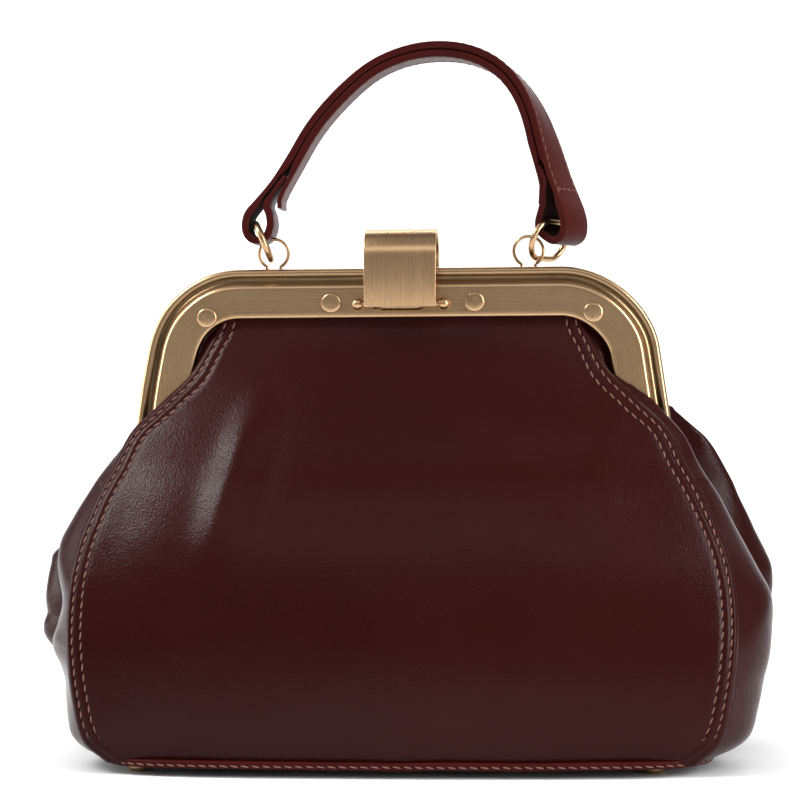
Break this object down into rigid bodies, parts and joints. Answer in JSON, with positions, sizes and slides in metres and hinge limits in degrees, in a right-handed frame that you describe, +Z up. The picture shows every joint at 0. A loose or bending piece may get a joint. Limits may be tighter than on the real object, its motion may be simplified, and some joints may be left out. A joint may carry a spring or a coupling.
{
  "type": "gladstone bag",
  "caption": "Framed leather handbag that opens wide on two hinged brass frames, held shut by a curled clasp and carried by a strap handle on oval rings.",
  "frame": {"origin": "middle of the box round the bag, on the floor that the feet stand on", "axes": "+X from left to right along the frames, +Y from the front with the clasp to the rear, +Z up"},
  "size_m": [0.256, 0.1168, 0.2504],
  "materials": {
    "brass": "brushed antique brass",
    "leather": "semi-gloss dark burgundy leather with a pebbled grain",
    "lining": "plain woven cloth",
    "board": "pressed fibre board"
  },
  "bodies": {
    "bag_body": {"hinge_pin_left": "brass", "hinge_pin_right": "brass", "front_panel_lower": "leather", "rear_panel_lower": "leather", "gusset_left_lower": "leather", "gusset_right_lower": "leather", "gusset_left_upper": "leather", "gusset_right_upper": "leather", "base_panel": "leather", "base_board": "board", "base_welt": "leather", "foot_front_left": "brass", "foot_front_right": "brass", "foot_rear_left": "brass", "foot_rear_right": "brass", "lining": "lining"},
    "front_frame": {"front_frame": "brass", "front_clamp_strip": "brass", "front_rivet_1": "brass", "front_rivet_2": "brass", "front_rivet_3": "brass", "front_rivet_4": "brass", "front_panel_upper": "leather", "clasp_bracket": "brass", "clasp_pin": "brass"},
    "rear_frame": {"rear_frame": "brass", "rear_clamp_strip": "brass", "rear_rivet_1": "brass", "rear_rivet_2": "brass", "rear_rivet_3": "brass", "rear_rivet_4": "brass", "rear_panel_upper": "leather", "handle_loop_left": "brass", "handle_loop_right": "brass"},
    "clasp": {"clasp_flap": "brass", "clasp_spring": "brass"},
    "ring_left": {"ring_left": "brass"},
    "ring_right": {"ring_right": "brass"},
    "handle": {"handle_outer_strap": "leather", "handle_inner_strap": "leather", "handle_core": "leather"}
  },
  "joints": [
    {"name": "front_frame_hinge", "type": "hinge", "parent": "bag_body", "child": "front_frame", "pos_m": [0, 0, 0.097], "axis": [1, 0, 0], "range_deg": [0, 40], "deforming": ["gusset_left_upper", "gusset_right_upper", "lining", "clasp_spring"]},
    {"name": "rear_frame_hinge", "type": "hinge", "parent": "bag_body", "child": "rear_frame", "pos_m": [0, 0, 0.097], "axis": [-1, 0, 0], "range_deg": [0, 40], "deforming": ["gusset_left_upper", "gusset_right_upper", "lining", "clasp_spring"]},
    {"name": "clasp_hinge", "type": "hinge", "parent": "front_frame", "child": "clasp", "pos_m": [0, -0.0096, 0.1584], "axis": [1, 0, 0], "range_deg": [0, 100], "deforming": ["clasp_spring"]},
    {"name": "ring_left_swing", "type": "hinge", "parent": "rear_frame", "child": "ring_left", "pos_m": [-0.0462, 0.0035, 0.1749], "axis": [1, 0, 0], "range_deg": [-10, 20]},
    {"name": "ring_right_swing", "type": "hinge", "parent": "rear_frame", "child": "ring_right", "pos_m": [0.0474, 0.0035, 0.1749], "axis": [1, 0, 0], "range_deg": [-10, 20]},
    {"name": "handle_tilt", "type": "hinge", "parent": "ring_left", "child": "handle", "pos_m": [-0.04874, 0.00328, 0.18121], "axis": [1, 0, 0], "range_deg": [-8, 8]}
  ],
  "couplings": [
    {"joint": "rear_frame_hinge", "follows": "front_frame_hinge", "ratio": 1},
    {"joint": "ring_right_swing", "follows": "ring_left_swing", "ratio": 1}
  ]
}
